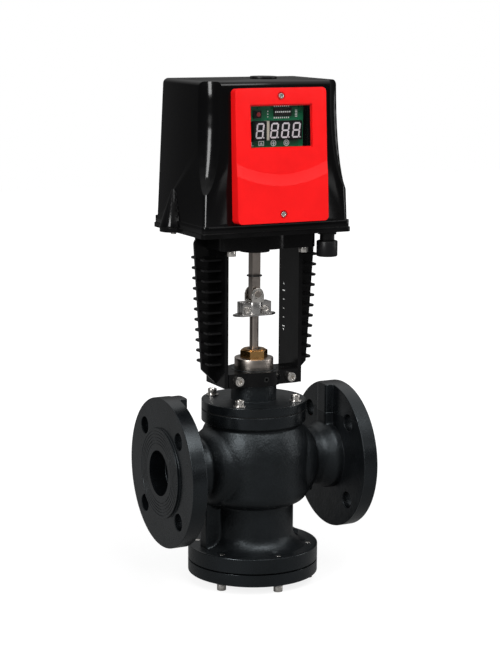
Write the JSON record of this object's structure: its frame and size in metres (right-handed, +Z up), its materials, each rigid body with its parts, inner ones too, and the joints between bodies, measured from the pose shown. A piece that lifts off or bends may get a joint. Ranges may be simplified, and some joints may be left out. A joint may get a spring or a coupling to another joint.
{
  "type": "two-way control valve",
  "caption": "Flanged two-way globe valve with a finned yoke, stem coupling and electric linear drive head with a display.",
  "frame": {"origin": "on the stem axis, level with the undersides of the bottom screw heads", "axes": "+Z up the stem, +X along the pipe towards the outlet, -Y towards the red front panel"},
  "size_m": [0.23, 0.165, 0.5563],
  "materials": {
    "cast_iron": "painted sand casting, satin",
    "yoke_paint": "black paint, satin",
    "steel": "turned",
    "zinc": "zinc plated",
    "dark_steel": "blackened",
    "brass": "machined",
    "rubber": "matte",
    "packing": "matte",
    "black_gloss": "glossy",
    "black_plastic": "satin",
    "red_gloss": "glossy",
    "window": "clear",
    "board": "satin",
    "display": "glossy"
  },
  "bodies": {
    "valve_and_head": {"body_casting": "cast_iron", "seat_ring": "steel", "bottom_gasket": "rubber", "bottom_cover": "cast_iron", "bottom_screws": "steel", "bottom_washers": "zinc", "bonnet_gasket": "rubber", "bonnet": "cast_iron", "bonnet_screws": "steel", "bonnet_washers": "zinc", "guide_bush": "brass", "packing_housing": "steel", "packing_rings": "packing", "disc_springs": "steel", "packing_nut": "brass", "stem_wiper": "rubber", "yoke": "yoke_paint", "clamp_cap": "yoke_paint", "clamp_screws": "steel", "set_screw": "dark_steel", "rod_bush": "black_plastic", "head_screws": "steel", "base_plate": "yoke_paint", "cover_gasket": "rubber", "cover": "black_gloss", "cover_screws": "steel", "front_panel": "red_gloss", "panel_screws": "steel", "window_pane": "window", "circuit_board": "board", "board_screws": "steel", "single_display": "display", "triple_display": "display", "board_parts": "display", "gland_body": "black_plastic", "gland_nut": "black_plastic", "gland_seal": "rubber", "gear_plate": "zinc", "plate_pillars": "steel", "motor": "steel", "drive_bearings": "dark_steel", "limit_switches": "black_plastic", "terminal_block": "board"},
    "stem": {"valve_stem": "steel", "valve_plug": "steel", "plug_pin": "steel", "pointer_plate": "zinc", "coupling_front": "zinc", "coupling_rear": "zinc", "coupling_screws": "steel", "clevis": "steel", "clevis_pin": "steel", "drive_rod": "steel", "rod_ring": "dark_steel", "travel_arm": "zinc"},
    "drive_nut": {"drive_nut": "brass"},
    "transfer_gear": {"transfer_gear": "steel"},
    "motor_pinion": {"motor_pinion": "brass"},
    "crank_shaft": {"crank_shaft": "steel"},
    "crank_cap": {"crank_cap": "black_plastic"}
  },
  "joints": [
    {"name": "nut_turn", "type": "hinge", "parent": "valve_and_head", "child": "drive_nut", "pos_m": [0, 0, 0.44], "axis": [0, 0, 1], "range_deg": [-900, 900]},
    {"name": "stem_travel", "type": "slide", "parent": "valve_and_head", "child": "stem", "axis": [0, 0, 1], "range_m": [-0.01, 0.01]},
    {"name": "transfer_turn", "type": "hinge", "parent": "valve_and_head", "child": "transfer_gear", "pos_m": [0.00558, 0.03658, 0.44], "axis": [0, 0, 1], "range_deg": [-3858, 3858]},
    {"name": "motor_turn", "type": "hinge", "parent": "valve_and_head", "child": "motor_pinion", "pos_m": [-0.02242, 0.03658, 0.44], "axis": [0, 0, 1], "range_deg": [-11572, 11572]},
    {"name": "crank_turn", "type": "hinge", "parent": "valve_and_head", "child": "crank_shaft", "pos_m": [0.0144, 0.01, 0.44], "axis": [0, 0, 1], "range_deg": [-11572, 11572]},
    {"name": "cap_pull", "type": "slide", "parent": "valve_and_head", "child": "crank_cap", "axis": [0, 0, 1], "range_m": [0, 0.012]}
  ],
  "couplings": [
    {"joint": "stem_travel", "follows": "nut_turn", "m_per_rad": -0.00063662},
    {"joint": "transfer_turn", "follows": "nut_turn", "ratio": -4.2857},
    {"joint": "motor_turn", "follows": "nut_turn", "ratio": 12.857},
    {"joint": "crank_turn", "follows": "nut_turn", "ratio": 12.857}
  ]
}
